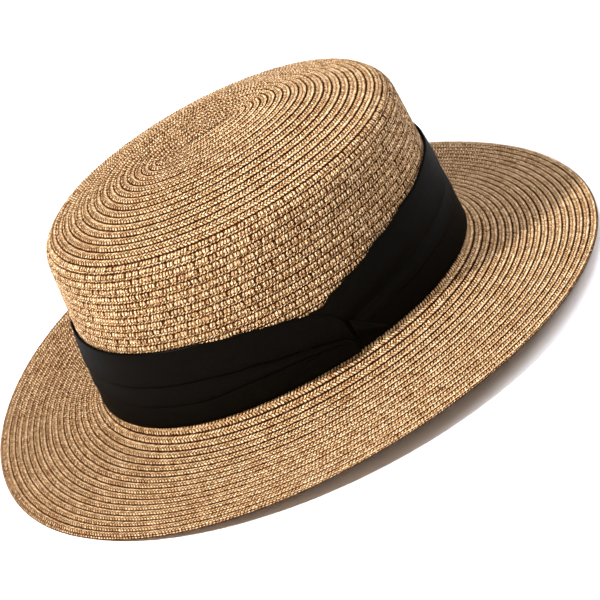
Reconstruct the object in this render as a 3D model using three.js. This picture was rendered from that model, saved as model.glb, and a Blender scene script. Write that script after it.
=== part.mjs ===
// A straw boater: a flat-topped hat of sewn spiral braid with a pleated satin band.
//
// Frame: millimetres, +Z up. The wearer's front is -Y and the wearer's left is +X. The origin lies on the
// surface that the hat rests on, under the middle of the crown.
//
// The straw is turned as a round hat of the mean head radius and then stretched over an oval block, as a
// hatter does it: each straw profile below is (radius, height) on the round hat, with height 0 at the root,
// where the crown meets the brim. The band is laid over the finished oval.

import * as THREE from 'three';
import { mergeVertices } from 'three/addons/utils/BufferGeometryUtils.js';

// Head block: the outer oval of the crown at the root.
const HEAD_HALF_LENGTH = 101.5;
const HEAD_HALF_WIDTH = 84.5;
const HEAD_MEAN = (HEAD_HALF_LENGTH + HEAD_HALF_WIDTH) / 2;
const HEAD_FULLNESS = 2.05; // exponent of the oval, 2 for an ellipse
const STRAW = 2; // thickness of the sewn braid

// Crown: a wall that leans in, a rounded shoulder and a tip that slopes up to a flat middle.
const WALL_HEIGHT = 75;
const WALL_INSET = 5.5;
const SHOULDER_RADIUS = 13;
const SHOULDER_START = THREE.MathUtils.degToRad(4.2);
const SHOULDER_END = THREE.MathUtils.degToRad(70.5);
const TIP_FALL = 26.5; // fall of the tip's outer slope, were it as long as the tip's radius
const TIP_BEND = 0.53; // share of the tip's radius where the flat middle bends into that slope
const TIP_BEND_EASE = 0.065;
const SHOULDER_MIDDLE = HEAD_MEAN - WALL_INSET - SHOULDER_RADIUS;
const TIP_RIM = SHOULDER_MIDDLE + SHOULDER_RADIUS * Math.cos(SHOULDER_END);

// Brim: wider at the sides than at the ends. It flares out of the root, levels off, and lies lowest at the
// front and the back.
const BRIM_SIDE_WIDTH = 70.5;
const BRIM_END_WIDTH = 63.5;
const BRIM_MEAN_WIDTH = (BRIM_SIDE_WIDTH + BRIM_END_WIDTH) / 2;
const BRIM_DROP = 11;
const BRIM_WAVE = 5;
const BRIM_FLARE = 11.2; // depth of the flare, were it not straightened out towards the edge
const BRIM_FLARE_WAVE = 1.3; // how much more the sides flare, and the ends less
const FLARE_REACH = 0.19; // share of the brim's width over which the flare fades
const ROOT_WAVE = 1.5;
const ROOT_FILLET = 2.5;
const EDGE_RADIUS = STRAW / 2;
const COLLAR_HEIGHT = 6; // the brim's upright part, hidden behind the band
const SEAM_GAP = 0.3;

// The root's height over the resting surface, which the brim touches at the front and the back.
const EDGE_SHARE = 1 - EDGE_RADIUS / BRIM_MEAN_WIDTH;
const ROOT_HEIGHT = STRAW - brimLevel(Math.PI / 2, EDGE_SHARE);

// Satin band. Angles are in degrees from +X towards +Y, heights in millimetres over the root.
const BAND_CLEARANCE = 0.4;
const BAND_THICKNESS = 1.3;
const BAND_FOOT = 0.4;
const KNOT_ANGLE = -5; // where the front end of the band stops, lying over the back end
const KNOT_CORNER_START = 0.62; // share of the height where that end's upper corner starts to round off
const KNOT_CORNER_ANGLE = 7;
const OVERLAP_RAISE = 1.3;
const OVERLAP_LENGTH = 24;
const OVERLAP_EDGE = 1.2;
const BAND_TOP = [
  { angle: -180, height: 42 },
  { angle: -70, height: 41.8 },
  { angle: -52, height: 41 },
  { angle: -38, height: 38.5 },
  { angle: -24, height: 34.8 },
  { angle: -10, height: 31.4 },
  { angle: -5, height: 34.4 },
  { angle: 5, height: 37.4 },
  { angle: 20, height: 42.4 },
  { angle: 36, height: 46 },
  { angle: 56, height: 48.4 },
  { angle: 100, height: 48 },
  { angle: 180, height: 42 },
];

// The two creases between the three pleats, as shares of the band's height, and how much of the pleated form
// is left: it gives way to one soft central crease where the back end is gathered into the knot.
const CREASES = [
  { angle: -180, lower: 0.34, upper: 0.61, pleated: 1 },
  { angle: -60, lower: 0.33, upper: 0.6, pleated: 1 },
  { angle: -38, lower: 0.36, upper: 0.56, pleated: 1 },
  { angle: -8, lower: 0.38, upper: 0.5, pleated: 0.8 },
  { angle: -4, lower: 0.3, upper: 0.46, pleated: 0 },
  { angle: 18, lower: 0.32, upper: 0.5, pleated: 0 },
  { angle: 50, lower: 0.34, upper: 0.54, pleated: 0.2 },
  { angle: 110, lower: 0.34, upper: 0.6, pleated: 1 },
  { angle: 180, lower: 0.34, upper: 0.61, pleated: 1 },
];
const NOMINAL_LOWER = 0.34;
const NOMINAL_UPPER = 0.61;

// Cross-section of the band from the foot up the outer face and down the inner one. layer is 0 on the inner
// face and 1 on the outer one. pleat and gather are the reliefs of the two forms, in millimetres.
const BAND_SECTION = [
  { share: 0, layer: 0.6, pleat: 0, gather: 0 },
  { share: 0.03, layer: 1, pleat: 0.1, gather: 0.2 },
  { share: 0.17, layer: 1, pleat: 0.5, gather: 0.9 },
  { share: 0.325, layer: 1, pleat: 0.1, gather: 1 },
  { share: 0.345, layer: 1, pleat: 1, gather: 0.9 },
  { share: 0.47, layer: 1, pleat: 0.7, gather: 0.6 },
  { share: 0.595, layer: 1, pleat: 0.3, gather: 0.1 },
  { share: 0.615, layer: 1, pleat: 1.1, gather: 0.1 },
  { share: 0.74, layer: 1, pleat: 0.9, gather: 0.9 },
  { share: 0.87, layer: 1, pleat: 0.6, gather: 0.8 },
  { share: 0.97, layer: 1, pleat: 0.1, gather: 0.1 },
  { share: 1, layer: 0.5, pleat: 0, gather: 0 },
  { share: 0.97, layer: 0, pleat: 0, gather: 0 },
  { share: 0.5, layer: 0, pleat: 0, gather: 0 },
  { share: 0.06, layer: 0, pleat: 0, gather: 0 },
];
const SECTION_SCALE = 10; // spreads the band's section out on its lathe profile

// The tucked fold in the knot, from its blunt end at the crossing to its tip.
const FOLD_START_ANGLE = -4;
const FOLD_END_ANGLE = 6.5;
const FOLD_START_HEIGHT = 14.6;
const FOLD_END_HEIGHT = 5.2;
const FOLD_START_HALF = 4.4;
const FOLD_END_HALF = 0.7;
const FOLD_CLEARANCE = 0.35;
const FOLD_DEPTH = 1.1;
const FOLD_LIP = 0.9; // extra depth at the lower lip, which turns the facet upwards

const STRAW_SEGMENTS = 72;
const BAND_SEGMENTS = 96;
const BAND_CROWDING = 0.7; // how strongly the band's segments crowd at the knot

/** Radius of an oval with the given half sizes at an angle from +X, in the plane of the hat. */
function ovalRadius(angle, halfWidth, halfLength, fullness) {
  const across = Math.abs(Math.cos(angle)) / halfWidth;
  const along = Math.abs(Math.sin(angle)) / halfLength;
  return (across ** fullness + along ** fullness) ** (-1 / fullness);
}

function rootRadius(angle) {
  return ovalRadius(angle, HEAD_HALF_WIDTH, HEAD_HALF_LENGTH, HEAD_FULLNESS);
}

function edgeRadius(angle) {
  return ovalRadius(angle, HEAD_HALF_WIDTH + BRIM_SIDE_WIDTH, HEAD_HALF_LENGTH + BRIM_END_WIDTH, 2);
}

/** How far the crown wall stands in from the root at a height over the root. */
function wallInset(height) {
  return (WALL_INSET * Math.max(height, 0)) / WALL_HEIGHT;
}

function rootWave(angle) {
  return ROOT_WAVE * Math.cos(2 * angle);
}

/** Level of the brim's upper face over the root, at a share of its width. */
function brimLevel(angle, share) {
  const wave = Math.cos(2 * angle);
  const edge = BRIM_WAVE * wave - BRIM_DROP;
  const fade = (1 - Math.exp(-share / FLARE_REACH)) / (1 - Math.exp(-1 / FLARE_REACH));
  const flare = (BRIM_FLARE + BRIM_FLARE_WAVE * wave) * (fade - share);
  return THREE.MathUtils.lerp(ROOT_WAVE * wave, edge, share) - flare;
}

/** Moves a point of the round hat to its place on the oval hat. */
function placeStraw(angle, radius, height) {
  const root = rootRadius(angle);
  const out = radius - HEAD_MEAN;
  const share = Math.max(out, 0) / BRIM_MEAN_WIDTH;
  const collarFade = THREE.MathUtils.clamp(height / COLLAR_HEIGHT, 0, 1);
  const level = brimLevel(angle, share) - rootWave(angle) * collarFade * (1 - share);
  let reach = root + out;
  if (out > 0) reach = root + (edgeRadius(angle) - root) * share;
  if (radius < TIP_RIM) reach = ((root + TIP_RIM - HEAD_MEAN) * radius) / TIP_RIM;
  return new THREE.Vector3(
    reach * Math.cos(angle),
    reach * Math.sin(angle),
    ROOT_HEIGHT + height + level,
  );
}

/** Reads one column of a table that is ordered by angle, easing between its rows. */
function readTable(table, column, degrees) {
  let row = 1;
  while (row < table.length - 1 && table[row].angle < degrees) row += 1;
  const before = table[row - 1];
  const after = table[row];
  const share = THREE.MathUtils.smoothstep(degrees, before.angle, after.angle);
  return THREE.MathUtils.lerp(before[column], after[column], share);
}

/** Share of the band's height after its creases are moved from their nominal places to their own. */
function creasedShare(share, degrees) {
  const lower = readTable(CREASES, 'lower', degrees);
  const upper = readTable(CREASES, 'upper', degrees);
  if (share < NOMINAL_LOWER) return (share / NOMINAL_LOWER) * lower;
  if (share < NOMINAL_UPPER) {
    return THREE.MathUtils.mapLinear(share, NOMINAL_LOWER, NOMINAL_UPPER, lower, upper);
  }
  return THREE.MathUtils.mapLinear(share, NOMINAL_UPPER, 1, upper, 1);
}

/** Relief of the band's front end where it lies over the back end, 0 to OVERLAP_RAISE. */
function overlapRaise(share, degrees) {
  const corner = Math.max(share - KNOT_CORNER_START, 0) / (1 - KNOT_CORNER_START);
  const end = KNOT_ANGLE - KNOT_CORNER_ANGLE * corner ** 2;
  const edge = THREE.MathUtils.smoothstep(end - degrees, -OVERLAP_EDGE / 2, OVERLAP_EDGE / 2);
  const fade = THREE.MathUtils.smoothstep(degrees, end - OVERLAP_LENGTH, end);
  return OVERLAP_RAISE * edge * fade;
}

/** Moves a point of the band's section to its place on the crown. */
function placeBand(angle, point) {
  const degrees = THREE.MathUtils.radToDeg(angle);
  const foot = rootWave(angle) + BAND_FOOT;
  const top = readTable(BAND_TOP, 'height', degrees);
  const height = THREE.MathUtils.lerp(foot, top, creasedShare(point.share, degrees));
  const pleated = readTable(CREASES, 'pleated', degrees);
  const relief = THREE.MathUtils.lerp(point.gather, point.pleat, pleated);
  const raise = point.layer * overlapRaise(point.share, degrees);
  const depth = BAND_CLEARANCE + point.layer * BAND_THICKNESS + relief + raise;
  const reach = rootRadius(angle) - wallInset(height) + depth;
  return new THREE.Vector3(
    reach * Math.cos(angle),
    reach * Math.sin(angle),
    ROOT_HEIGHT + height,
  );
}

/** Merges a deformed geometry's shared vertices and gives it fresh normals. */
function finish(geometry) {
  geometry.deleteAttribute('uv');
  geometry.deleteAttribute('normal');
  const merged = mergeVertices(geometry, 1e-3);
  merged.computeVertexNormals();
  return merged;
}

/** Spins a profile and moves every vertex with place(angle, profile index). */
function latheOver(profile, segments, place) {
  const geometry = new THREE.LatheGeometry(profile, segments);
  const positions = geometry.getAttribute('position');
  for (let index = 0; index < positions.count; index += 1) {
    const turn = Math.floor(index / profile.length);
    const angle = ((turn % segments) / segments) * 2 * Math.PI - Math.PI;
    const spot = place(angle, index % profile.length);
    positions.setXYZ(index, spot.x, spot.y, spot.z);
  }
  return finish(geometry);
}

/** Points of an arc in a profile, round a middle, from one angle to another. */
function arcPoints(middle, radius, start, end, steps) {
  return Array.from({ length: steps + 1 }, (_, step) => {
    const angle = THREE.MathUtils.lerp(start, end, step / steps);
    return new THREE.Vector2(
      middle.x + radius * Math.cos(angle),
      middle.y + radius * Math.sin(angle),
    );
  });
}

/** How far the tip lies under its middle at a share of its radius. */
function tipFall(share) {
  return TIP_FALL * TIP_BEND_EASE * Math.log1p(Math.exp((share - TIP_BEND) / TIP_BEND_EASE));
}

/** The shoulder and tip from the wall up to the axis, at a depth under the crown's outer face. */
function tipPoints(depth) {
  const middle = new THREE.Vector2(SHOULDER_MIDDLE, WALL_HEIGHT);
  const shoulder = arcPoints(middle, SHOULDER_RADIUS - depth, SHOULDER_START, SHOULDER_END, 4);
  const rim = shoulder[shoulder.length - 1];
  const slope = [0.8, 0.66, 0.57, 0.49, 0.38, 0].map(
    (share) => new THREE.Vector2(rim.x * share, rim.y + tipFall(1) - tipFall(share)),
  );
  return [...shoulder, ...slope];
}

/** The crown: tip, shoulder and wall as one shell, open below. */
function makeCrown(material) {
  const foot = COLLAR_HEIGHT + SEAM_GAP;
  const footRadius = HEAD_MEAN - wallInset(foot);
  const profile = [
    ...tipPoints(STRAW).reverse(),
    new THREE.Vector2(footRadius - STRAW, foot),
    new THREE.Vector2(footRadius, foot),
    ...tipPoints(0),
  ];
  const place = (angle, index) => placeStraw(angle, profile[index].x, profile[index].y);
  return new THREE.Mesh(latheOver(profile, STRAW_SEGMENTS, place), material);
}

/** Radii and heights across the flat of the brim, at a depth under its upper face. */
function brimFlat(start, depth) {
  const end = HEAD_MEAN + BRIM_MEAN_WIDTH - EDGE_RADIUS;
  return [0, 0.05, 0.11, 0.18, 0.27, 0.4, 0.6, 0.8, 1].map(
    (share) => new THREE.Vector2(THREE.MathUtils.lerp(start, end, share), -depth),
  );
}

/** The brim: an upright collar, a root fillet, the drooping flat and a rounded edge. */
function makeBrim(material) {
  const collarRadius = HEAD_MEAN - wallInset(COLLAR_HEIGHT);
  const filletMiddle = new THREE.Vector2(HEAD_MEAN + ROOT_FILLET, ROOT_FILLET);
  const edgeMiddle = new THREE.Vector2(HEAD_MEAN + BRIM_MEAN_WIDTH - EDGE_RADIUS, -EDGE_RADIUS);
  const flatStart = HEAD_MEAN + ROOT_FILLET;
  const turn = Math.PI / 2;
  const profile = [
    new THREE.Vector2(collarRadius, COLLAR_HEIGHT),
    ...arcPoints(filletMiddle, ROOT_FILLET, 2 * turn, 3 * turn, 3).slice(0, -1),
    ...brimFlat(flatStart, 0),
    ...arcPoints(edgeMiddle, EDGE_RADIUS, turn, -turn, 4).slice(1, -1),
    ...brimFlat(flatStart, STRAW).reverse(),
    ...arcPoints(filletMiddle, ROOT_FILLET + STRAW, 3 * turn, 2 * turn, 3).slice(1),
    new THREE.Vector2(collarRadius - STRAW, COLLAR_HEIGHT),
    new THREE.Vector2(collarRadius, COLLAR_HEIGHT),
  ].reverse();
  const place = (angle, index) => placeStraw(angle, profile[index].x, profile[index].y);
  return new THREE.Mesh(latheOver(profile, STRAW_SEGMENTS, place), material);
}

/** Crowds evenly spaced angles together at the knot. */
function crowdedAngle(angle) {
  const knot = THREE.MathUtils.degToRad(KNOT_ANGLE);
  const crowded = angle - BAND_CROWDING * Math.sin(angle - knot);
  return Math.atan2(Math.sin(crowded), Math.cos(crowded));
}

/** The satin band, gathered at the knot and laid in three pleats elsewhere. */
function makeBand(material) {
  const section = [...BAND_SECTION, BAND_SECTION[0]];
  const profile = section.map(
    (point) => new THREE.Vector2(HEAD_MEAN + point.layer, point.share * SECTION_SCALE),
  );
  const place = (angle, index) => placeBand(crowdedAngle(angle), section[index]);
  return new THREE.Mesh(latheOver(profile, BAND_SEGMENTS, place), material);
}

/** Outer face of the band at an angle and a height, where the tucked fold rests on it. */
function bandReach(angle, height) {
  const gathered = Math.max(...BAND_SECTION.map((point) => point.gather));
  return rootRadius(angle) - wallInset(height) + BAND_CLEARANCE + BAND_THICKNESS + gathered;
}

/** The tucked fold: a tapering lip of satin whose facet looks up and out. */
function makeKnotFold(material) {
  const geometry = new THREE.CylinderGeometry(1, 1, 1, 14, 8);
  const positions = geometry.getAttribute('position');
  const point = new THREE.Vector3();
  for (let index = 0; index < positions.count; index += 1) {
    point.fromBufferAttribute(positions, index);
    const share = point.y + 0.5;
    const angle = THREE.MathUtils.degToRad(
      THREE.MathUtils.lerp(FOLD_START_ANGLE, FOLD_END_ANGLE, share),
    );
    const half = THREE.MathUtils.lerp(FOLD_START_HALF, FOLD_END_HALF, share);
    const middle = THREE.MathUtils.lerp(FOLD_START_HEIGHT, FOLD_END_HEIGHT, share);
    const height = middle + half * point.x;
    const lip = FOLD_DEPTH + (FOLD_LIP * (1 - point.x)) / 2;
    const depth = FOLD_CLEARANCE + Math.max(-point.z, 0) * lip;
    const reach = bandReach(angle, height) + depth;
    positions.setXYZ(
      index,
      reach * Math.cos(angle),
      reach * Math.sin(angle),
      ROOT_HEIGHT + height,
    );
  }
  return new THREE.Mesh(finish(geometry), material);
}

const straw = () => new THREE.MeshStandardMaterial({ color: 0xb8905f, roughness: 0.75, metalness: 0 });
const satin = () => new THREE.MeshStandardMaterial({ color: 0x14120f, roughness: 0.45, metalness: 0 });

const hat = new THREE.Group();
hat.name = 'straw_boater';
const pieces = {
  crown: makeCrown(straw()),
  brim: makeBrim(straw()),
  hat_band: makeBand(satin()),
  knot_fold: makeKnotFold(satin()),
};
for (const [name, mesh] of Object.entries(pieces)) {
  mesh.name = name;
  hat.add(mesh);
}

export default hat;
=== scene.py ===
"""Dresses the straw boater: a spiral of sewn braid, a pleated satin band and the band's tucked knot.

Frame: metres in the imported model's frame, +Z up. The wearer's front is -Y and the wearer's left is +X. Sizes
are in millimetres until a mesh is written. Angles are from +X towards +Y.
"""

import logging
import math
from collections.abc import Callable
from dataclasses import dataclass, field
from enum import Enum
from typing import NamedTuple

import bmesh
import bpy
import numpy as np
from mathutils import Matrix, Vector


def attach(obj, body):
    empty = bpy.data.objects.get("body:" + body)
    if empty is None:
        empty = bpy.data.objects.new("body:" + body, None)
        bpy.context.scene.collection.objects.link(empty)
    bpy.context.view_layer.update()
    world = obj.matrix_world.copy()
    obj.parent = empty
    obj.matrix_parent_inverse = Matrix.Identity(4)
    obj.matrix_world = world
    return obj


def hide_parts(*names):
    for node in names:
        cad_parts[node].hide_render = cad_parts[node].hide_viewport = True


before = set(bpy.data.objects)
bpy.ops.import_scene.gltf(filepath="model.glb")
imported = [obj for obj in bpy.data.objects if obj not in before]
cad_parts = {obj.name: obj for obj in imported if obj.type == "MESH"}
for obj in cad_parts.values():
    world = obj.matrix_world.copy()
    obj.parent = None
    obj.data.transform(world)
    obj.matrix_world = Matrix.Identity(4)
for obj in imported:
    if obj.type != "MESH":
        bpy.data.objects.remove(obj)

LOG = logging.getLogger("straw_boater")
MM = 0.001
FULL_TURN = 2 * math.pi

Field = np.ndarray
BMesh = bmesh.types.BMesh
Material = bpy.types.Material
Span = tuple[float, float]  # from and to
Pair = tuple[float, float]
Triple = tuple[float, float, float]


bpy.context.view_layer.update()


def smooth_step(value: Field | float, low: float, high: float) -> Field | float:
    """Eases from 0 at low to 1 at high."""
    share = np.clip((value - low) / (high - low), 0, 1)
    return share * share * (3 - 2 * share)


def blend(start: Field | float, end: Field | float, share: Field | float) -> Field | float:
    """Returns what lies at a share of the way from start to end."""
    return start + (end - start) * share


class Slot(Enum):
    """The record's material slots."""

    STRAW = "straw"
    SATIN = "satin"


class Node(Enum):
    """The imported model's nodes."""

    CROWN = "crown"
    BRIM = "brim"
    BAND = "hat_band"
    FOLD = "knot_fold"


# ---- Shader helpers ----

MIX_SHARE, MIX_START, MIX_END, MIX_RESULT = 0, 6, 7, 2  # numbers of the Mix node's sockets for colours


def math_method(operation: str, swapped: bool = False) -> Callable[..., "Signal"]:
    """Makes a method that adds a Math node: the signal is its first value, or its last if swapped."""

    def method(signal: "Signal", *others: "Signal | float") -> "Signal":
        """Adds the node and returns its result."""
        values = (*others, signal) if swapped else (signal, *others)
        return signal.shader.math(operation, *values)

    return method


class Signal:
    """A shader socket that can be written in sums."""

    __add__ = __radd__ = math_method("ADD")
    __sub__ = math_method("SUBTRACT")
    __rsub__ = math_method("SUBTRACT", swapped=True)
    __mul__ = __rmul__ = math_method("MULTIPLY")
    __truediv__ = math_method("DIVIDE")
    __pow__ = math_method("POWER")
    floor = math_method("FLOOR")
    fract = math_method("FRACT")
    size = math_method("ABSOLUTE")
    sine = math_method("SINE")

    def __init__(self, shader: "Shader", socket: bpy.types.NodeSocket) -> None:
        """Wraps a socket of a shader's node tree."""
        self.shader = shader
        self.socket = socket

    def ramp(self, low: float, high: float) -> "Signal":
        """Eases from 0 at low to 1 at high."""
        return self.shader.node(
            "ShaderNodeMapRange",
            {"interpolation_type": "SMOOTHSTEP"},
            {"Value": self, "From Min": low, "From Max": high},
            "Result",
        )


class Shader:
    """A material's node tree, built one node at a time."""

    def __init__(self, name: str) -> None:
        """Starts an empty material with its output."""
        self.material = bpy.data.materials.new(name)
        self.material.use_nodes = True
        self.tree = self.material.node_tree
        self.tree.nodes.clear()
        self.output = self.tree.nodes.new("ShaderNodeOutputMaterial")

    def node(self, kind: str, settings: dict, sockets: dict, output: str | int = 0) -> Signal:
        """Adds a node.

        Args:
            kind: The node's type.
            settings: Properties that are set before the sockets.
            sockets: Values or signals by the socket's name or number.
            output: The output that is handed back.

        Returns:
            The node's output as a signal.
        """
        made = self.tree.nodes.new(kind)
        for name, value in settings.items():
            setattr(made, name, value)
        for name, value in sockets.items():
            if isinstance(value, Signal):
                self.tree.links.new(value.socket, made.inputs[name])
            else:
                made.inputs[name].default_value = value
        return Signal(self, made.outputs[output])

    def math(self, operation: str, *values: Signal | float) -> Signal:
        """Adds a Math node with one value per socket."""
        return self.node("ShaderNodeMath", {"operation": operation}, dict(enumerate(values)))

    def vector(self, x: Signal | float, y: Signal | float, z: Signal | float = 0.0) -> Signal:
        """Joins three values to a vector."""
        return self.node("ShaderNodeCombineXYZ", {}, {"X": x, "Y": y, "Z": z})

    def mix(self, share: Signal, start: Triple | Signal, end: Triple | Signal) -> Signal:
        """Mixes two colours, from start at a share of 0 to end at 1."""
        first, second = (colour if isinstance(colour, Signal) else (*colour, 1.0) for colour in (start, end))
        sockets = {MIX_SHARE: share, MIX_START: first, MIX_END: second}
        return self.node("ShaderNodeMix", {"data_type": "RGBA"}, sockets, MIX_RESULT)

    def place(self) -> Signal:
        """Object coordinates, in metres."""
        return self.node("ShaderNodeTexCoord", {}, {}, "Object")

    def uv(self) -> tuple[Signal, Signal]:
        """The piece's own UV map as its two values."""
        both = self.node("ShaderNodeUVMap", {"uv_map": UV_NAME}, {})
        return tuple(self.node("ShaderNodeSeparateXYZ", {}, {"Vector": both}, axis) for axis in "XY")

    def noise(self, where: Signal, scale: float, detail: float, roughness: float = 0.5) -> Signal:
        """Soft noise, about 0 to 1 round 0.5."""
        sockets = {"Vector": where, "Scale": scale, "Detail": detail, "Roughness": roughness}
        return self.node("ShaderNodeTexNoise", {}, sockets)

    def chance(self, x: Signal, y: Signal | float, draw: float) -> Signal:
        """One random value, 0 to 1, for each whole-numbered place of a draw."""
        return self.node("ShaderNodeTexWhiteNoise", {}, {"Vector": self.vector(x, y, draw)}, "Value")

    def bump(self, height: Signal, distance: float, strength: float = 1.0) -> Signal:
        """Turns a height from 0 to 1 into a bumped normal, with the distance in metres."""
        sockets = {"Strength": strength, "Distance": distance, "Height": height}
        return self.node("ShaderNodeBump", {}, sockets, "Normal")

    def finish(self, sockets: dict) -> Material:
        """Adds the Principled shader with these sockets and returns the material."""
        surface = self.node("ShaderNodeBsdfPrincipled", {}, sockets, "BSDF")
        self.tree.links.new(surface.socket, self.output.inputs["Surface"])
        return self.material


UV_NAME = "laid"
TINY = 1e-6
SAME_PHASE = 0.01  # cells within which two phases count as one
JOINT = 0.37  # where along a cell the strand's first two stalks meet


class Laid(NamedTuple):
    """Where a point lies on the braid."""

    along: Signal  # in cells
    across: Signal  # in rows


@dataclass(frozen=True)
class StrawFinish:
    """Sewn straw braid: split knobs along one side of a row and a twisted strand along the other."""

    name: str = "open_straw"
    # The gap colour is painted shade down in the grooves between rows, the slots, the knobs' splits and the
    # joints between stalks. The dark colour is painted shade on the low parts as well as the straw's own dark
    # tone, and the light colour on the raised crests is painted highlight as well as its own light tone.
    light: Triple = (1.0, 0.74, 0.45)
    middle: Triple = (0.47, 0.245, 0.092)
    dark: Triple = (0.13, 0.038, 0.004)
    gap_shade: Triple = (0.032, 0.007, 0.001)
    out_of_gap: Span = (0.0, 0.35)  # height over which the gap's painted shade turns to the dark colour
    to_middle: Span = (0.1, 0.48)  # lightness over which dark turns to the middle colour
    to_light: Span = (0.40, 0.95)
    relief: float = 0.6  # how much a stalk's height lightens it: painted highlight on the raised parts, painted shade on the low ones
    own_tone: float = 0.28
    drifting: float = 0.12
    drift_scale: float = 38.0
    splintering: float = 0.6
    splinters: Triple = (5.0, 6.5, 3.0)  # noise along and across, and its slant
    splinter_edge: Span = (0.36, 0.64)
    sway: Pair = (0.2, 0.16)  # how far stalks stray, in cells and in rows
    sway_scale: Pair = (1.7, 2.0)  # along and across
    roughness: Pair = (0.75, 0.5)  # down in a gap and up on a stalk
    bump_share: float = 0.6  # of the stalks, the rest is the splinters'
    underside: Span = (1.1, 1.6)  # V over which a row's outer face gives way to its underside
    underside_height: float = 0.75
    knob_middle: float = 0.40  # V
    knob_half_height: float = 0.30  # V
    knob_half_width: float = 0.44  # of a cell
    knob_squareness: float = 3.0
    knob_edge: Span = (0.45, 1.15)
    split_place: Span = (0.40, 0.60)  # the part of a cell in which a knob's split lies
    split_lean: float = 0.22  # cells for each row
    split_edge: Span = (0.03, 0.12)
    split_depth: float = 0.95
    strand_start: Span = (0.70, 0.74)  # V over which the knobs give way to the strand
    strand_middle: float = 0.84  # V
    strand_edge: Span = (0.02, 0.10)
    strand_stalks: float = 2.0  # in a cell
    stalk_edge: Span = (0.06, 0.30)
    stalk_lean: float = 1 / 0.28  # stalks for each row
    bulge: float = 0.18  # V that a stalk's middle stands out beyond its ends

    def make(self) -> Material:
        """Returns the finished material."""
        shader = Shader(self.name)
        along, across = shader.uv()
        top = 1 - across.ramp(*self.underside)
        along, across = laid = Laid(
            along + self.stray(shader, along, across, 0.0) * self.sway[0],
            across + self.stray(shader, along, across, 5.0) * self.sway[1],
        )
        raised, tone = self.weave(shader, laid)
        raised = raised * top + (1 - top) * self.underside_height

        # Each stalk has its own tone; splinters catch the light, and the whole hat drifts slowly in tone. The
        # stalks' height also lightens the colour as painted highlight on the raised parts and painted shade on
        # the low ones.
        drift = shader.noise(shader.place(), self.drift_scale, 3.0)
        often, wide, slant = self.splinters
        grain = shader.noise(shader.vector(along * often, across * wide + along * slant), 1.0, 1.0)
        splinters = grain.ramp(*self.splinter_edge) - 0.5
        lightness = raised * self.relief + (tone - 0.5) * self.own_tone
        lightness = lightness + (drift - 0.5) * self.drifting + splinters * self.splintering

        # Low places get the gap colour as painted shade; the lightest colour on the raised crests is partly
        # painted highlight.
        colour = shader.mix(raised.ramp(*self.out_of_gap), self.gap_shade, self.dark)
        colour = shader.mix(lightness.ramp(*self.to_middle), colour, self.middle)
        colour = shader.mix(lightness.ramp(*self.to_light), colour, self.light)
        rough, smooth = self.roughness
        height = raised * self.bump_share + splinters * (1 - self.bump_share)
        return shader.finish(
            {
                "Base Color": colour,
                "Roughness": rough - raised * (rough - smooth),
                "Specular IOR Level": 0.06,
                "Normal": shader.bump(height, MM),
            }
        )

    def stray(self, shader: Shader, along: Signal, across: Signal, draw: float) -> Signal:
        """Returns how far a stalk strays, about -0.3 to 0.3."""
        scale_along, scale_across = self.sway_scale
        return shader.noise(shader.vector(along * scale_along, across * scale_across, draw), 1.0, 1.0) - 0.5

    def weave(self, shader: Shader, laid: Laid) -> tuple[Signal, Signal]:
        """Returns relief and tones of the braid: knobs on a row's inner side, the strand outside them."""
        in_strand = laid.across.ramp(*self.strand_start)
        strand, strand_tone = self.strand(shader, laid)
        knobs, knob_tone = self.knobs(shader, laid)
        relief = knobs * (1 - in_strand) + strand * in_strand
        return relief, knob_tone * (1 - in_strand) + strand_tone * in_strand

    def strand(self, shader: Shader, laid: Laid) -> tuple[Signal, Signal]:
        """Returns relief and tones of one slanting stalk after the other."""
        from_middle = laid.across - self.strand_middle
        place = (laid.along - JOINT) * self.strand_stalks + from_middle * self.stalk_lean
        from_joint = 0.5 - (place.fract() - 0.5).size()
        outside = (from_middle.size() - from_joint * self.bulge).ramp(*self.strand_edge)
        tone = shader.chance(place.floor(), 7.0, draw=1.0)
        return from_joint.ramp(*self.stalk_edge) * (1 - outside), tone

    def knobs(self, shader: Shader, laid: Laid) -> tuple[Signal, Signal]:
        """Returns relief and tones of rounded knobs with a split down the middle."""
        cell = laid.along.floor()
        first, last = self.split_place
        from_middle = laid.across - self.knob_middle
        chance = shader.chance(cell, 1.0, draw=3.0)
        from_split = laid.along.fract() - first - chance * (last - first) + from_middle * self.split_lean
        width = (from_split.size() / self.knob_half_width) ** self.knob_squareness
        height = (from_middle.size() / self.knob_half_height) ** self.knob_squareness
        body = 1 - (width + height).ramp(*self.knob_edge)
        split = 1 - from_split.size().ramp(*self.split_edge)
        side = from_split.ramp(-0.01, 0.01).floor()
        return body * (1 - split * self.split_depth), shader.chance(cell, side, draw=4.0)


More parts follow.
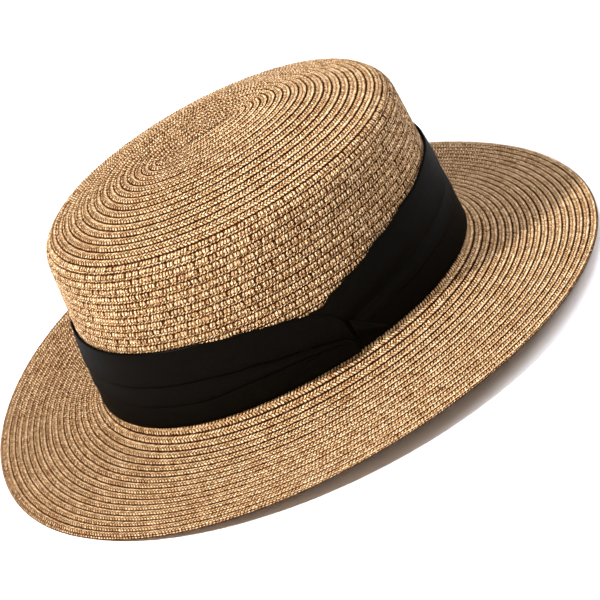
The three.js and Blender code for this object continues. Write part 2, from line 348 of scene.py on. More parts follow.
@dataclass(frozen=True)
class TightStrawFinish(StrawFinish):
    """The same braid drawn tight: two lanes of short plaits that slant against each other."""

    name: str = "tight_straw"
    relief: float = 0.62
    splintering: float = 0.4
    lane_start: float = 0.02  # V
    lane_width: float = 0.49  # V
    plaits: float = 2.0  # in a cell
    plait_slant: float = 0.8  # plaits that a lane's width leans over
    plait_edge: Span = (0.055, 0.2)
    closeness: float = 0.6  # how far the two lanes close the gap between them
    row_start: Span = (0.02, 0.17)  # V
    row_end: Span = (0.91, 1.03)

    def weave(self, shader: Shader, laid: Laid) -> tuple[Signal, Signal]:
        """Returns relief and tones of short plaits in two lanes, with painted shade in the pits between their
        corners.
        """
        lanes = (laid.across - self.lane_start) / self.lane_width
        lane = lanes.floor()
        from_middle = lanes.fract() - 0.5
        inwards = from_middle * (1 - lane * 2)
        place = laid.along * self.plaits + inwards * self.plait_slant + lane * 0.5
        from_centre = place.fract() - 0.5
        taper = from_middle * from_middle * (1 - inwards.ramp(0.0, 0.5) * self.closeness)
        plait = 1 - (from_centre * from_centre + taper).ramp(*self.plait_edge)
        # Outside the row the relief is zero, so the groove takes the gap colour as painted shade.
        row = laid.across.ramp(*self.row_start) * (1 - laid.across.ramp(*self.row_end))
        return plait * row, shader.chance(place.floor(), lane, draw=4.0)


@dataclass(frozen=True)
class SatinFinish:
    """Black ribbon satin: a fine rib across a soft, slightly warm black."""

    black: Triple = (0.0006, 0.00035, 0.0001)
    worn_and_sheen: Triple = (0.0030, 0.0020, 0.0009)
    wear_and_sheen: float = 0.6  # how much of the dust and of the crumple shows in the colour; the crumple's part is painted sheen
    shine_offset: float = 0.1
    ribs: float = 900.0  # round the hat
    rib_share: float = 0.15  # of the relief, the rest is crumple
    crumple_scale: Pair = (60.0, 9.0)  # along and across
    crumple_roughness: float = 0.55
    dust_scale: float = 210.0
    dust_roughness: float = 0.65

    def make(self) -> Material:
        """Returns the finished material."""
        shader = Shader("black_satin")
        along, across = shader.uv()
        rib = (along * (FULL_TURN * self.ribs)).sine() * 0.5 + 0.5
        scale_along, scale_across = self.crumple_scale
        crumpled = shader.vector(along * scale_along, across * scale_across)
        crumple = shader.noise(crumpled, 1.0, 3.0, self.crumple_roughness)
        dust = shader.noise(shader.place(), self.dust_scale, 4.0, self.dust_roughness)
        # The dust is real wear; the crumple, which also bumps the face, lightens its raised wrinkles as
        # painted sheen.
        shine = dust * self.wear_and_sheen + crumple * self.wear_and_sheen - self.shine_offset
        height = rib * self.rib_share + crumple * (1 - self.rib_share)
        return shader.finish(
            {
                "Base Color": shader.mix(shine, self.black, self.worn_and_sheen),
                "Roughness": 0.5 + dust * 0.16,
                "Specular IOR Level": 0.01,
                "Coat Weight": 0.028,
                "Coat Roughness": 0.33,
                "Normal": shader.bump(height, 0.0006, 0.5),
            }
        )


# ---- Shape under the straw ----


@dataclass(frozen=True)
class HatBlock:
    """The straw's outer face: a round hat's profile stretched over an oval head."""

    head_half_length: float = 101.5
    head_half_width: float = 84.5
    head_fullness: float = 2.05
    brim_side_width: float = 70.5
    brim_end_width: float = 63.5
    wall_height: float = 75.0
    wall_inset: float = 5.5
    shoulder_radius: float = 13.0
    shoulder_start: float = math.radians(4.2)
    shoulder_end: float = math.radians(70.5)
    tip_fall: float = 26.5  # fall for a whole radius at the rim's slope
    tip_bend: float = 0.53  # share of the tip's radius where it begins to fall
    tip_bend_ease: float = 0.065
    brim_drop: float = 11.0
    brim_wave: float = 5.0
    brim_flare: float = 11.2
    brim_flare_wave: float = 1.3
    flare_reach: float = 0.19  # share of the brim's width over which the flare opens
    root_wave: float = 1.5
    root_fillet: float = 2.5
    collar_height: float = 6.0
    straw: float = 2.0

    @property
    def head_mean(self) -> float:
        """Radius of the round hat's root."""
        return (self.head_half_length + self.head_half_width) / 2

    @property
    def brim_mean_width(self) -> float:
        """Width of the round hat's brim."""
        return (self.brim_side_width + self.brim_end_width) / 2

    @property
    def core(self) -> float:
        """Half the length of the line on which the spiral starts."""
        return (self.head_half_length - self.head_half_width) / 2

    @property
    def root_height(self) -> float:
        """Height of the root over the resting surface."""
        edge_share = 1 - self.straw / 2 / self.brim_mean_width
        return self.straw - float(self.brim_level(math.pi / 2, edge_share))

    @property
    def shoulder_middle(self) -> float:
        """Radius of the middle of the shoulder's arc."""
        return self.head_mean - self.wall_inset - self.shoulder_radius

    @property
    def tip_rim(self) -> float:
        """Radius where the shoulder turns into the tip."""
        return self.shoulder_middle + self.shoulder_radius * math.cos(self.shoulder_end)

    @property
    def tip_length(self) -> float:
        """Distance over the straw from the core to the shoulder."""
        return self.tip_rim - self.core

    @property
    def wall_top(self) -> tuple[float, float]:
        """Radius and height where the shoulder turns into the wall."""
        start = self.shoulder_start
        radius = self.shoulder_middle + self.shoulder_radius * math.cos(start)
        return radius, self.wall_height + self.shoulder_radius * math.sin(start)

    @property
    def collar_radius(self) -> float:
        """Radius where the wall turns into the collar."""
        return self.head_mean - self.wall_inset * self.collar_height / self.wall_height

    @property
    def stations(self) -> list[float]:
        """Distances from the core to where tip, shoulder, wall, collar, fillet and brim end."""
        radius, height = self.wall_top
        stretches = [
            self.tip_length,
            self.shoulder_radius * (self.shoulder_end - self.shoulder_start),
            math.hypot(self.collar_radius - radius, height - self.collar_height),
            math.hypot(self.head_mean - self.collar_radius, self.collar_height - self.root_fillet),
            self.root_fillet * math.pi / 2,
            self.brim_mean_width - self.root_fillet,
        ]
        return list(np.cumsum(stretches))

    def tip_level(self, share: Field | float) -> Field:
        """Level of the tip over its rim, at shares of its radius from the middle."""
        scale = self.tip_fall * self.tip_bend_ease
        fall = scale * np.log1p(np.exp((share - self.tip_bend) / self.tip_bend_ease))
        return scale * math.log1p(math.exp((1 - self.tip_bend) / self.tip_bend_ease)) - fall

    def brim_level(self, angle: Field | float, share: Field | float) -> Field:
        """Level of the brim over the root, at shares of its width from the root."""
        wave = np.cos(2 * angle)
        edge = self.brim_wave * wave - self.brim_drop
        fade = (1 - np.exp(-share / self.flare_reach)) / (1 - math.exp(-1 / self.flare_reach))
        flare = (self.brim_flare + self.brim_flare_wave * wave) * (fade - share)
        return blend(self.root_wave * wave, edge, share) - flare

    def wall_distance(self, height: float) -> float:
        """Distance over the straw from the core to a height on the wall."""
        _, top = self.wall_top
        _, shoulder, wall, *_ = self.stations
        return blend(shoulder, wall, (top - height) / (top - self.collar_height))

    def profile(self, distance: Field) -> tuple[Field, Field]:
        """Reads the round hat's profile.

        Args:
            distance: Distances over the straw from the core.

        Returns:
            Radius on the round hat and height over the root. The tip's height is left at the rim's.
        """
        tip, shoulder, wall, collar, fillet, _ = self.stations
        top_radius, top_height = self.wall_top
        turn = self.shoulder_end - np.clip((distance - tip) / self.shoulder_radius, 0, None)
        bend = np.pi + np.clip((distance - collar) / self.root_fillet, 0, np.pi / 2)
        straight_stations = [shoulder, wall, collar]
        fillet_middle = self.head_mean + self.root_fillet
        radius = np.select(
            [distance <= tip, distance <= shoulder, distance <= collar, distance <= fillet],
            [
                self.core + distance,
                self.shoulder_middle + self.shoulder_radius * np.cos(turn),
                np.interp(distance, straight_stations, [top_radius, self.collar_radius, self.head_mean]),
                fillet_middle + self.root_fillet * np.cos(bend),
            ],
            fillet_middle + distance - fillet,
        )
        height = np.select(
            [distance <= shoulder, distance <= collar, distance <= fillet],
            [
                self.wall_height + self.shoulder_radius * np.sin(turn),
                np.interp(distance, straight_stations, [top_height, self.collar_height, self.root_fillet]),
                self.root_fillet + self.root_fillet * np.sin(bend),
            ],
            0.0,
        )
        return radius, height

    def on_face(self, turn: Field, distance: Field) -> Field:
        """Places points on the straw's outer face.

        Args:
            turn: How many times round the hat, 0 at +X.
            distance: Distance over the straw from the core.

        Returns:
            Points in millimetres, with the last axis X, Y, Z.
        """
        radius, height = self.profile(distance)
        share = np.clip((radius - self.head_mean) / self.brim_mean_width, 0, None)
        inside = np.minimum(radius, self.head_mean)
        half_width = inside - self.core + self.brim_side_width * share
        half_length = inside + self.core + self.brim_end_width * share
        fullness = blend(self.head_fullness, 2.0, np.clip(share, 0, 1))
        swing = turn * FULL_TURN
        cosine, sine = np.cos(swing), np.sin(swing)
        bulge = (np.abs(cosine) ** fullness + np.abs(sine) ** fullness) ** (-1 / fullness)
        x, y = half_width * bulge * cosine, half_length * bulge * sine
        rim_width, rim_length = self.tip_rim - self.core, self.tip_rim + self.core
        reach = np.hypot(x / rim_width, y / rim_length)
        height = height + np.where(distance < self.tip_length, self.tip_level(np.clip(reach, 0, 1)), 0.0)
        angle = np.arctan2(y, x)
        fade = np.clip(height / self.collar_height, 0, 1)
        level = self.brim_level(angle, share) - self.root_wave * np.cos(2 * angle) * fade * (1 - share)
        return np.stack([x, y, self.root_height + height + level], axis=-1)

    def round_wall(self, angle: Field, height: Field, clearance: Field) -> Field:
        """Places points at heights over the root, clear of the wall by a level distance."""
        across = np.abs(np.cos(angle)) / self.head_half_width
        along = np.abs(np.sin(angle)) / self.head_half_length
        root = (across**self.head_fullness + along**self.head_fullness) ** (-1 / self.head_fullness)
        reach = root - self.wall_inset * height / self.wall_height + clearance
        x, y = reach * np.cos(angle), reach * np.sin(angle)
        return np.stack(np.broadcast_arrays(x, y, self.root_height + height), axis=-1)

    def over_face(self, turn: Field, distance: Field, rise: Field) -> Field:
        """Places points over the straw's outer face, or under it where the rise is negative."""
        small_turn, small_step = 2e-5, 0.02
        here = self.on_face(turn, distance)
        round_it = self.on_face(turn + small_turn, distance) - self.on_face(turn - small_turn, distance)
        outward = self.on_face(turn, distance + small_step) - here
        normal = np.cross(outward, round_it)
        normal /= np.maximum(np.linalg.norm(normal, axis=-1, keepdims=True), 1e-12)
        return here + normal * rise[..., None]


# ---- Meshes ----


def closed_strip(points: Field, uvs: Field) -> BMesh:
    """Lays a grid round a strip whose cross-section closes on itself, and fills its two ends.

    Args:
        points: Points in millimetres, indexed by column, row and axis. The first and last rows meet.
        uvs: UV values, indexed in the same way.

    Returns:
        A new bmesh in metres.
    """
    columns, rows = points.shape[:2]
    mesh = bmesh.new()
    layer = mesh.loops.layers.uv.new(UV_NAME)
    bmesh.ops.create_grid(mesh, x_segments=columns - 1, y_segments=rows - 1, size=0.5)
    flat_points = points.transpose(1, 0, 2).reshape(-1, 3) * MM
    flat_uvs = uvs.transpose(1, 0, 2).reshape(-1, 2).tolist()
    mesh.verts.ensure_lookup_table()
    for vertex, point in zip(mesh.verts, flat_points.tolist()):
        vertex.co = point
    for face in mesh.faces:
        face.smooth = True
        for loop in face.loops:
            loop[layer].uv = flat_uvs[loop.vert.index]
    seam = mesh.verts[:columns] + mesh.verts[-columns:]
    bmesh.ops.remove_doubles(mesh, verts=seam, dist=1e-7)
    rim = [edge for edge in mesh.edges if edge.is_boundary]
    bmesh.ops.holes_fill(mesh, edges=rim, sides=0)
    return mesh


def add_object(name: str, mesh: BMesh, material: Material) -> bpy.types.Object:
    """Turns a bmesh, used up here, into an object in the scene."""
    data = bpy.data.meshes.new(name)
    mesh.to_mesh(data)
    mesh.free()
    data.materials.append(material)
    made = bpy.data.objects.new(name, data)
    bpy.context.scene.collection.objects.link(made)
    return made


def write_piece(name: str, mesh: BMesh, material: Material, stands_for: Node) -> bpy.types.Object:
    """Turns a bmesh into a finished piece that rides on the hat.

    Args:
        name: The piece's name.
        mesh: Its shape in metres, used up here.
        material: Its finish.
        stands_for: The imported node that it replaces.

    Returns:
        The new object.
    """
    bmesh.ops.recalc_face_normals(mesh, faces=mesh.faces[:])
    piece = add_object(name, mesh, material)
    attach(piece, "root")
    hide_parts(stands_for.value)
    triangles = sum(len(face.vertices) - 2 for face in piece.data.polygons)
    LOG.info("%s: %d triangles", name, triangles)
    return piece


# ---- Straw ----


class BraidPoint(NamedTuple):
    """One corner of the braid's cross-section."""

    across: float  # share of a row's width from the row before, outwards
    rise: float  # millimetres over the hat's face
    map_v: float  # where it lies on the finish
    slot: float = 0  # share of the slots' depth that it takes
    strand: float = 0  # share of the strand's relief that it takes
    swing: float = 0  # share of the strand's slant that it takes


Section = tuple[BraidPoint, ...]
UNDER_ROW_BEFORE = BraidPoint(-0.30, -1.25, -0.30)
UNDERSIDE = (BraidPoint(-0.30, -1.80, 2.60), BraidPoint(-0.30, -1.25, 2.90))
BRAID_SECTION: Section = (
    UNDER_ROW_BEFORE,
    BraidPoint(0.05, -0.75, 0.05, 0.6),
    BraidPoint(0.20, -0.22, 0.20, 1),
    BraidPoint(0.56, -0.10, 0.56, 0.8),
    BraidPoint(0.70, -0.42, 0.70, 0.3, 0.2),
    BraidPoint(0.84, 0.05, 0.84, 0, 1, 0.6),
    BraidPoint(0.95, -0.20, 0.95, 0, 0.6, 1),
    BraidPoint(1.00, -0.75, 1.15),
    *UNDERSIDE,
)
TIGHT_SECTION: Section = (
    UNDER_ROW_BEFORE,
    BraidPoint(0.04, -0.72, 0.04, 0.3),
    BraidPoint(0.17, -0.20, 0.17, 0.6),
    BraidPoint(0.36, -0.05, 0.36, 0.6),
    BraidPoint(0.51, -0.24, 0.51, 0.2, 0.2),
    BraidPoint(0.72, 0.04, 0.72, 0, 1, 0.6),
    BraidPoint(0.94, -0.18, 0.94, 0, 0.6, 1),
    BraidPoint(1.00, -0.70, 1.15),
    *UNDERSIDE,
)
PLAIN_SECTION: Section = (
    BraidPoint(-0.30, -1.00, -0.30),
    BraidPoint(0.20, -0.14, 0.20),
    BraidPoint(0.84, 0.00, 0.84),
    BraidPoint(1.00, -0.65, 1.30),
    BraidPoint(-0.30, -1.75, 2.60),
    BraidPoint(-0.30, -1.00, 2.90),
)


@dataclass
class Braid:
    """A straw braid laid in one spiral over the whole hat, each row lapping over the next one outwards."""

    block: HatBlock
    rows: float = 59.285  # turns from the core to the brim's edge
    brim_pitch: float = 3.65  # distance from one of the brim's rows to the next
    cell: float = 3.55  # length of one stitch of the braid
    stalk: float = 0.5  # length of one of the strand's stalks, in cells
    phases: tuple[float, ...] = (0.0, 0.10, JOINT, JOINT + 0.25, JOINT + 0.5)
    plain_phases: tuple[float, ...] = (0.0, 0.5)
    slot_depth: float = 0.95
    joint_depth: float = 0.5
    slant: float = 0.26
    unevenness: float = 0.11
    shift: float = 0.045  # cells that the columns within a cell stray
    shifted: Span = (0.2, 0.8)  # the phases that stray
    swell: float = 0.05  # millimetres that whole rows rise and sink
    swell_cells: int = 7  # cells between two draws of the swell
    outer: Span = (0.1, 1.2)  # V between which a point can be seen
    turn_steps: int = 720  # of the measured spiral
    measured_from: float = 0.4  # least distance from the core where the spiral is measured
    starts_at: float = 0.05  # least distance of the straw from it
    tuck: float = 0.80  # depth of the last row's end under the row before
    tuck_relief: float = 0.3  # share of the relief that it keeps there
    tuck_edge: float = 0.15  # share of a row over which it sinks
    seed: int = 11
    tables: dict[str, Field] = field(default_factory=dict, init=False)

    def __post_init__(self) -> None:
        """Measures the spiral and draws its unevenness."""
        turns = np.linspace(-1, self.rows, int((self.rows + 1) * self.turn_steps))
        middle = np.clip(self.distance_at(turns + 0.5), self.measured_from, None)
        path = self.block.on_face(turns, middle)
        steps = np.linalg.norm(np.diff(path, axis=0), axis=1)
        cells = np.concatenate([[0], np.cumsum(steps)]) / self.cell
        count = int(cells[-1]) + 3
        chance = np.random.default_rng(self.seed)
        drawn = np.arange(0, count, self.swell_cells)
        slow = np.interp(np.arange(count), drawn, chance.normal(0, 1, len(drawn)))
        self.tables = {
            "turns": turns,
            "cells": cells,
            "knob": chance.uniform(-1, 1, count),
            "strand": chance.uniform(-1, 1, count),
            "shift": chance.uniform(-1, 1, count),
            "slow": slow,
        }

    @property
    def root(self) -> tuple[float, float]:
        """Distance over the straw to the brim's flat, and the turns to it."""
        *_, root, edge = self.block.stations
        return root, self.rows - (edge - root) / self.brim_pitch

    @property
    def crown_pitch(self) -> float:
        """Distance from one of the crown's rows to the next."""
        root, turns = self.root
        return root / turns

    def distance_at(self, turns: Field | float) -> Field | float:
        """Distance over the straw from the core after a number of turns."""
        _, root_turns = self.root
        past = np.clip(turns - root_turns, 0, None)
        return turns * self.crown_pitch + past * (self.brim_pitch - self.crown_pitch)

    def turn_at(self, distance: float) -> float:
        """Turns from the start to a row that begins at a distance over the straw."""
        root, _ = self.root
        past = max(distance - root, 0)
        return min(distance, root) / self.crown_pitch + past / self.brim_pitch

    def columns(self, start: float, end: float, phases: tuple[float, ...]) -> tuple[Field, Field]:
        """Returns the cells and the phases in them of the columns between two turns."""
        first, last = np.interp([start, end], self.tables["turns"], self.tables["cells"])
        number = np.arange(math.floor(first), math.ceil(last) + 1)
        cell = np.repeat(number, len(phases))
        phase = np.tile(phases, len(number))
        kept = (cell + phase >= first - TINY) & (cell + phase <= last + TINY)
        return cell[kept], phase[kept]

    def strip(self, start: float, end: float, section: Section, openness: float) -> BMesh:
        """Builds a stretch of the braid.

        Args:
            start: First turn.
            end: Last turn.
            section: The braid's cross-section.
            openness: Share of the slots' depth, less where the braid is drawn tight.

        Returns:
            The closed strip.
        """
        across, rise, map_v, slot, strand, swing = (np.array(column) for column in zip(*section))
        phases = self.plain_phases if section is PLAIN_SECTION else self.phases
        cell, phase = self.columns(start, end, phases)
        first, last = self.shifted
        inner = (phase > first) & (phase < last)
        along = cell + phase + np.where(inner, self.tables["shift"][cell] * self.shift, 0.0)
        turn = np.interp(along, self.tables["cells"], self.tables["turns"])[:, None]
        along, phase = along[:, None], phase[:, None]
        knob = self.tables["knob"][cell][:, None]
        stalk = self.tables["strand"][cell][:, None]
        slow = np.interp(along, np.arange(len(self.tables["slow"])), self.tables["slow"])

        in_slot = (phase < SAME_PHASE).astype(float)
        since_joint = (phase - JOINT + TINY) / self.stalk % 1.0
        at_joint = (since_joint < SAME_PHASE).astype(float)
        lean = 0.5 - np.where(at_joint > 0, 0.5, since_joint)
        reach = across + self.slant * lean * swing
        relief = rise - slot * in_slot * self.slot_depth * openness - strand * at_joint * self.joint_depth
        relief = relief + self.unevenness * (slot * (1 - in_slot) * knob + strand * stalk)
        lowest, highest = self.outer
        relief = relief + self.swell * slow * ((map_v > lowest) & (map_v < highest))
        place = np.clip(self.distance_at(turn + reach), self.starts_at, None)
        place, relief = self.tuck_last_row(turn, reach, place, relief)
        turn = np.broadcast_to(turn, place.shape)
        points = self.block.over_face(turn, place, relief)
        uvs = np.stack(np.broadcast_arrays(along, map_v[None, :]), axis=-1)
        return closed_strip(points, uvs)

    def tuck_last_row(self, turn: Field, reach: Field, place: Field, relief: Field) -> tuple[Field, Field]:
        """Returns distances and heights that slide the last row under the one before it."""
        last = self.rows - 1
        hidden = np.clip(turn - last, 0, 1)
        edge = self.block.stations[-1]
        held = edge - (1 - reach) * self.brim_pitch
        covered = smooth_step(hidden - reach, -self.tuck_edge, self.tuck_edge)
        lowered = blend(relief, relief * self.tuck_relief - self.tuck, covered)
        return np.where(turn > last, held, place), np.where(turn > last, lowered, relief)


@dataclass(frozen=True)
class CrownStraw:
    """The crown's straw: tip, shoulder and wall, with plain rows behind the band."""

    braid: Braid
    tip_end: float = 18.5  # turns
    shoulder_end: float = 27.5
    hidden_from: float = 27.0  # height on the wall under which the band hides the rows
    tip_openness: float = 0.4  # of the slots
    wall_openness: float = 0.8

    def build(self, tight: Material, open_knobs: Material) -> None:
        """Builds the crown's pieces: the tip's braid is tight, the wall's has open knobs."""
        block = self.braid.block
        hidden = round(self.braid.turn_at(block.wall_distance(self.hidden_from)))
        collar = self.braid.turn_at(block.stations[2])
        wall = self.wall_openness
        stretches = {
            "crown_tip": (-1.0, self.tip_end, TIGHT_SECTION, self.tip_openness, tight),
            "crown_shoulder": (self.tip_end, self.shoulder_end, BRAID_SECTION, wall, open_knobs),
            "crown_wall": (self.shoulder_end, hidden, BRAID_SECTION, wall, open_knobs),
            "crown_wall_behind_band": (hidden, collar, PLAIN_SECTION, wall, open_knobs),
        }
        for name, (*stretch, finish) in stretches.items():
            write_piece(name, self.braid.strip(*stretch), finish, Node.CROWN)


@dataclass(frozen=True)
class BrimStraw:
    """The brim's straw, from the collar behind the band to the edge."""

    braid: Braid
    inner_end: float = 48.0  # turns
    middle_end: float = 54.0
    openness: float = 0.4  # of the slots
    end_gap: float = 0.002  # turns that the straw ends before the spiral does

    def build(self, finish: Material) -> None:
        """Builds the brim's pieces in one finish."""
        collar = self.braid.turn_at(self.braid.block.stations[2])
        stretches = {
            "brim_inner_rows": (collar, self.inner_end),
            "brim_middle_rows": (self.inner_end, self.middle_end),
            "brim_outer_rows": (self.middle_end, self.braid.rows - self.end_gap),
        }
        for name, (start, end) in stretches.items():
            mesh = self.braid.strip(start, end, TIGHT_SECTION, self.openness)
            write_piece(name, mesh, finish, Node.BRIM)


# ---- Band ----

ByAngle = dict[float, float]  # values by angle in degrees, from -180 to 180

# Height of the band's top edge over the root, and of its front end's top edge, in millimetres.
BAND_TOP: ByAngle = {
    -180: 42, -70: 41.8, -52: 41, -38: 38.5, -24: 34.8, -10: 31.4, -5: 34.4,
    5: 37.4, 20: 42.4, 36: 46, 56: 48.4, 100: 48, 180: 42,
}
END_TOP: ByAngle = {-29: 36.15, -24: 34.8, -16: 32.0, -12: 29.0, -8: 25.6, -6.2: 20.4, -5: 14.0}
# Heights of the two creases as shares of the band's, and how far the band is pleated rather than gathered.
LOWER_CREASE: ByAngle = {
    -180: 0.32, -83: 0.31, -54: 0.30, -38: 0.36, -26: 0.38, -9: 0.36,
    -4: 0.30, 16: 0.32, 50: 0.34, 110: 0.34, 180: 0.32,
}
UPPER_CREASE: ByAngle = {
    -180: 0.59, -83: 0.575, -54: 0.575, -38: 0.56, -26: 0.515, -9: 0.46,
    -4: 0.46, 16: 0.51, 50: 0.54, 110: 0.60, 180: 0.59,
}
PLEATED: ByAngle = {-26: 1, -9: 0.8, -4: 0, 16: 0, 50: 0.2, 110: 1, 180: 1}


class Pleat(NamedTuple):
    """One pleat laid over the one below it."""

    low: float  # share of the band's height
    high: float
    proud: float  # millimetres that its fold stands out


PLEATS = (Pleat(0.0, 0.335, 0.55), Pleat(0.335, 0.605, 1.05), Pleat(0.605, 1.0, 1.15))
# A pleat's face: shares of its width, negative where the fold hangs over, and of what the fold stands out.
PLEAT_FACE = (
    (-0.035, 0.25), (-0.04, 0.7), (-0.015, 0.95), (0.04, 1.0), (0.2, 0.98),
    (0.4, 0.85), (0.6, 0.66), (0.8, 0.42), (0.93, 0.22), (0.985, 0.1),
)


def read_table(table: ByAngle, degrees: Field) -> Field:
    """Reads a table at angles from -180 to 180, easing between its entries."""
    angles, values = np.array(list(table), float), np.array(list(table.values()), float)
    after = np.clip(np.searchsorted(angles, degrees), 1, len(table) - 1)
    share = smooth_step((degrees - angles[after - 1]) / (angles[after] - angles[after - 1]), 0, 1)
    return blend(values[after - 1], values[after], share)


@dataclass(frozen=True)
class SatinBand:
    """The satin band: one ribbon round the crown whose front end lies over its back end."""

    block: HatBlock
    clearance: float = 0.4
    layer: float = 1.0
    foot: float = 0.4
    knot_angle: float = -5.0
    under_length: float = 17.0  # degrees that the back end runs on under the front one
    end_length: float = 24.0  # degrees over which the front end rises and narrows
    raise_over: float = 1.5
    tuck_from: Span = (9.0, 13.0)  # degrees before the knot over which the back end's top sinks
    tuck_drop: float = 6.0
    under_drop: float = 0.3
    creases: Pair = (0.34, 0.61)  # shares of the height at which the section has its creases
    gather_rise: float = 0.9
    gather_crease: Pair = (0.6, 0.08)  # middle and half width of the gathered crease
    gather_crease_depth: float = 0.75
    gather_thin_from: float = 0.8
    gather_thin: float = 0.5
    columns: int = 900
    flat_width: float = 62.0

    def build(self, finish: Material) -> None:
        """Builds the band in the satin's finish."""
        start, end = self.knot_angle - self.under_length, self.knot_angle + 360
        degrees = np.linspace(start, end, self.columns)[:, None]
        share, pleated, gathered, layer = (np.array(column)[None, :] for column in zip(*self.section()))
        shown = (degrees + 180) % 360 - 180
        angle = np.radians(degrees)
        foot = self.block.root_wave * np.cos(2 * angle) + self.foot
        height = blend(foot, self.top(degrees, shown), self.move_creases(share, shown))
        relief = blend(gathered, pleated, read_table(PLEATED, shown))
        raised = self.raise_over * smooth_step(degrees, end - self.end_length, end)
        points = self.block.round_wall(angle, height, self.clearance + layer * (self.layer + relief) + raised)
        uvs = np.stack(np.broadcast_arrays(degrees / 360, share + (1 - layer)), axis=-1)
        band = closed_strip(points, uvs)
        piece = write_piece("hat_band_satin", band, finish, Node.BAND)

    def top(self, degrees: Field, shown: Field) -> Field:
        """Height of the top edge, at angles along the ribbon that are also given from -180 to 180."""
        near, far = self.tuck_from
        tucked = smooth_step(degrees, self.knot_angle - near, self.knot_angle - far)
        top = read_table(BAND_TOP, shown)
        top = np.where(degrees < self.knot_angle, top - self.under_drop - self.tuck_drop * tucked, top)
        return np.where(degrees > self.knot_angle + 360 - self.end_length, read_table(END_TOP, shown), top)

    def move_creases(self, share: Field, shown: Field) -> Field:
        """Moves the section's shares of the height so that its creases lie where the tables say."""
        lower, upper = read_table(LOWER_CREASE, shown), read_table(UPPER_CREASE, shown)
        first, second = self.creases
        below = share / first * lower
        between = lower + (share - first) / (second - first) * (upper - lower)
        above = upper + (share - second) / (1 - second) * (1 - upper)
        return np.where(share < first, below, np.where(share < second, between, above))

    def gathered(self, share: float) -> float:
        """Relief of the gathered band at a share of its height."""
        middle, half = self.gather_crease
        crease = self.gather_crease_depth * math.exp(-(((share - middle) / half) ** 2))
        past = max(share - self.gather_thin_from, 0) / (1 - self.gather_thin_from)
        return self.gather_rise - crease - self.gather_thin * past

    def section(self) -> list[tuple[float, float, float, float]]:
        """The band's cross-section, up the outer face and down the inner one.

        Returns:
            Shares of the height, reliefs of the pleated and of the gathered band, and layers, 1 outside.
        """
        foot = (0.0, 0.0, 0.0, 0.3)
        points = [foot]
        for pleat in PLEATS:
            for across, proud in PLEAT_FACE:
                if pleat.low > 0 or across > 0:
                    share = pleat.low + across * (pleat.high - pleat.low)
                    points.append((share, pleat.proud * proud, self.gathered(share), 1.0))
        inner_face = [(share, 0.0, 0.0, 0.0) for share in (0.985, 0.5, 0.02)]
        return [*points, (1.0, 0.0, 0.0, 0.6), *inner_face, foot]


@dataclass(frozen=True)
class KnotFold:
    """The tucked fold in the knot: a tapering lip of satin whose facet looks up and out."""

    block: HatBlock
    start_angle: float = -4.0
    end_angle: float = 6.5
    start_height: float = 14.6
    end_height: float = 5.2
    start_half: float = 4.4
    end_half: float = 0.7
    clearance: float = 2.65
    depth: float = 1.1
    lip: float = 0.9
    map_size: Pair = (0.03, 0.1)
    columns: int = 40
    sides: int = 24

    def build(self, finish: Material) -> None:
        """Builds the fold in the satin's finish."""
        share = np.linspace(0, 1, self.columns)[:, None]
        turn = np.linspace(0, FULL_TURN, self.sides + 1)[None, :]
        angle = np.radians(blend(self.start_angle, self.end_angle, share))
        side = np.cos(turn)
        half = blend(self.start_half, self.end_half, share)
        height = blend(self.start_height, self.end_height, share) + half * side
        lip = self.depth + self.lip * (1 - side) / 2
        clearance = self.clearance + np.clip(-np.sin(turn), 0, None) * lip
        points = self.block.round_wall(angle, height, clearance)
        map_length, map_width = self.map_size
        uvs = np.stack(np.broadcast_arrays(share * map_length, side * map_width), axis=-1)
        fold = closed_strip(points, uvs)
        piece = write_piece("knot_fold_satin", fold, finish, Node.FOLD)


# ---- Stage ----


class Lamp(NamedTuple):
    """A round lamp that looks at the middle of the hat."""

    name: str
    azimuth: float  # degrees from +X towards +Y
    elevation: float
    distance: float  # metres
    size: float
    power: float  # watts
    colour: Triple = (1.0, 1.0, 1.0)


LAMPS = (
    Lamp("key", -77, 44, 1.6, 0.08, 45.0),
    Lamp("overhead", 0, 90, 2.2, 1.8, 37.0, (0.95, 0.98, 1.10)),
    Lamp("side", 65, 45, 2.2, 1.2, 22.0, (1.0, 1.0, 1.05)),
)


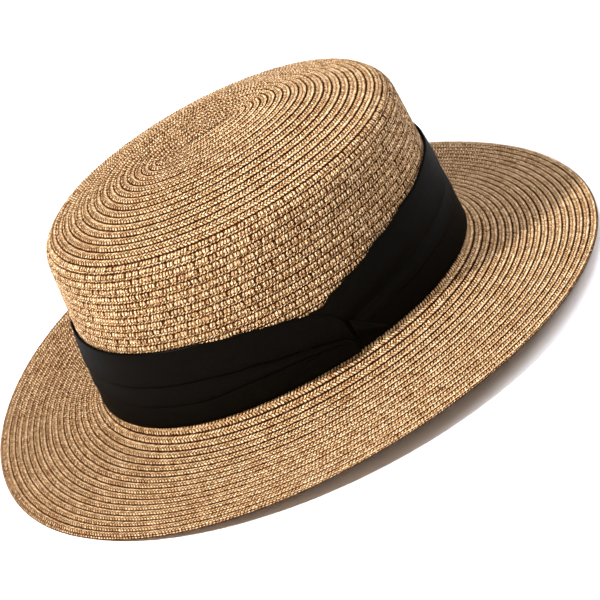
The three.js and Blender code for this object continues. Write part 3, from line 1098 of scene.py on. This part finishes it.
@dataclass(frozen=True)
class Studio:
    """A pale floor, soft light from above and from behind, and one small lamp at the hat's front."""

    azimuth: float = math.radians(69.4146)
    elevation: float = math.radians(28.0446)
    roll: float = math.radians(25.4187)
    distance: float = 1.1
    lens: float = 133.41
    aim_height: float = 0.0479
    aim_right: float = 0.007937
    aim_up: float = -0.030525
    floor_size: float = 6.0
    fill: float = 0.45

    def build(self) -> None:
        """Sets up floor, lights and camera."""
        self.add_floor()
        self.add_world()
        self.add_lights()
        self.add_camera()

    def add_floor(self) -> None:
        """Lays the plain floor under the hat."""
        mesh = bmesh.new()
        bmesh.ops.create_grid(mesh, x_segments=1, y_segments=1, size=self.floor_size / 2)
        shader = Shader("pale_floor")
        grain = shader.noise(shader.place(), 3.0, 2.0)
        colour = shader.mix(grain, (0.90, 0.90, 0.90), (0.92, 0.92, 0.92))
        matt = shader.finish({"Base Color": colour, "Roughness": 0.9, "Specular IOR Level": 0.0})
        floor = add_object("floor", mesh, matt)

    def add_world(self) -> None:
        """Fills the room with even light."""
        world = bpy.data.worlds.new("studio")
        world.use_nodes = True
        background = next(node for node in world.node_tree.nodes if node.type == "BACKGROUND")
        background.inputs["Color"].default_value = (1.0, 1.0, 1.0, 1.0)
        background.inputs["Strength"].default_value = self.fill
        bpy.context.scene.world = world

    def add_lights(self) -> None:
        """Hangs the lights."""
        for lamp in LAMPS:
            light = bpy.data.lights.new(lamp.name, "AREA")
            light.shape = "DISK"
            light.size = lamp.size
            light.energy = lamp.power
            light.color = lamp.colour
            azimuth, elevation = math.radians(lamp.azimuth), math.radians(lamp.elevation)
            level = math.cos(elevation)
            direction = Vector((level * math.cos(azimuth), level * math.sin(azimuth), math.sin(elevation)))
            holder = bpy.data.objects.new(lamp.name, light)
            holder.location = direction * lamp.distance
            holder.rotation_euler = direction.to_track_quat("Z", "Y").to_euler()
            bpy.context.scene.collection.objects.link(holder)

    def add_camera(self) -> None:
        """Places the camera, rolled so that the hat leans in the picture."""
        level = math.cos(self.elevation)
        sideways, forwards = math.sin(self.azimuth) * level, math.cos(self.azimuth) * level
        back = Vector((sideways, -forwards, math.sin(self.elevation)))
        flat_right = Vector((math.cos(self.azimuth), math.sin(self.azimuth), 0))
        flat_up = back.cross(flat_right)
        right = flat_right * math.cos(self.roll) - flat_up * math.sin(self.roll)
        up = flat_right * math.sin(self.roll) + flat_up * math.cos(self.roll)
        aim = Vector((0, 0, self.aim_height)) + flat_right * self.aim_right + flat_up * self.aim_up
        data = bpy.data.cameras.new("camera")
        data.lens = self.lens
        data.sensor_width = 36.0
        data.clip_end = 50.0
        camera = bpy.data.objects.new("camera", data)
        turned = Matrix((right, up, back)).transposed().to_4x4()
        camera.matrix_world = Matrix.Translation(aim + back * self.distance) @ turned
        bpy.context.scene.collection.objects.link(camera)
        bpy.context.scene.camera = camera


def main() -> None:
    """Builds the hat, sub-assembly by sub-assembly."""
    logging.basicConfig(level=logging.INFO, format="%(name)s: %(message)s")
    bpy.context.scene.view_settings.view_transform = "Standard"
    open_straw = StrawFinish().make()
    tight_straw = TightStrawFinish().make()
    satin = SatinFinish().make()
    block = HatBlock()
    braid = Braid(block)
    CrownStraw(braid).build(tight_straw, open_straw)
    BrimStraw(braid).build(tight_straw)
    SatinBand(block).build(satin)
    KnotFold(block).build(satin)
    Studio().build()


if __name__ == "__main__":
    main()
